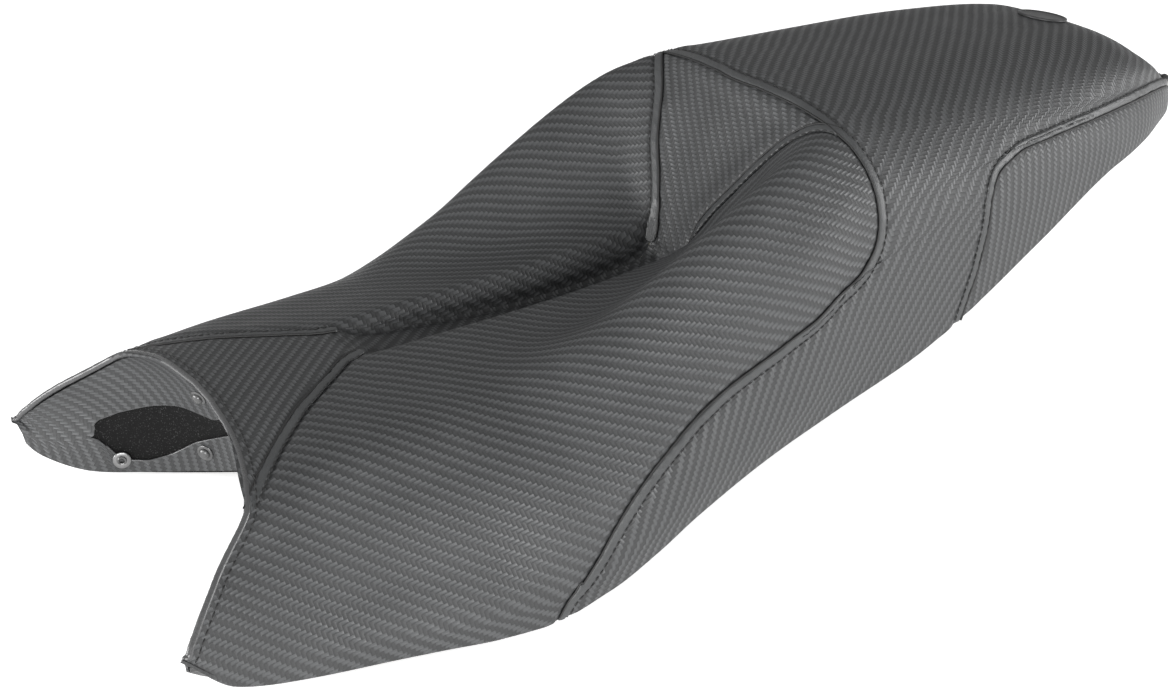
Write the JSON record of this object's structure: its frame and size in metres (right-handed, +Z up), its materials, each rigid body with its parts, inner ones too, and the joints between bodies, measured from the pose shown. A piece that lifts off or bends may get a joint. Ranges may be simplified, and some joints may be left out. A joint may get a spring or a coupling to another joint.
{
  "type": "motorcycle seat",
  "caption": "One-piece sport motorcycle seat: horned nose, channelled rider bucket and raised passenger pad, in a sewn vinyl cover over foam and a moulded pan.",
  "frame": {"origin": "middle of the seat's footprint, at the level of its lowest skirt edge", "axes": "+Z up, +Y towards the tail, -Y towards the nose that meets the tank, +X to the rider's left"},
  "size_m": [0.298, 0.7217, 0.209],
  "materials": {
    "cover_vinyl": "satin embossed twill",
    "pan_plastic": "fine grain",
    "foam": "open cell foam",
    "gel": "soft gel",
    "plated_steel": "zinc plated",
    "bumper_rubber": "matt",
    "rivet_metal": "satin",
    "badge_rubber": "moulded"
  },
  "bodies": {
    "root": {"cover_nose": "cover_vinyl", "cover_side_left": "cover_vinyl", "cover_side_right": "cover_vinyl", "cover_channel": "cover_vinyl", "cover_bumstop": "cover_vinyl", "cover_passenger": "cover_vinyl", "cover_tail_left": "cover_vinyl", "cover_tail_right": "cover_vinyl", "arch_liner": "cover_vinyl", "arch_hem": "cover_vinyl", "seat_pan": "pan_plastic", "pan_ribs": "pan_plastic", "arch_wall": "pan_plastic", "horn_floor_left": "pan_plastic", "horn_floor_right": "pan_plastic", "foam_cushion": "foam", "gel_pad_left": "gel", "gel_pad_right": "gel", "tongue_bracket": "plated_steel", "tongue_screws": "plated_steel", "striker_plate": "plated_steel", "striker_loop": "plated_steel", "striker_screws": "plated_steel", "bumpers_front": "bumper_rubber", "bumpers_middle": "bumper_rubber", "bumpers_rear": "bumper_rubber", "rivet_washers": "rivet_metal", "cover_rivets": "rivet_metal", "tail_badge": "badge_rubber"}
  },
  "joints": []
}
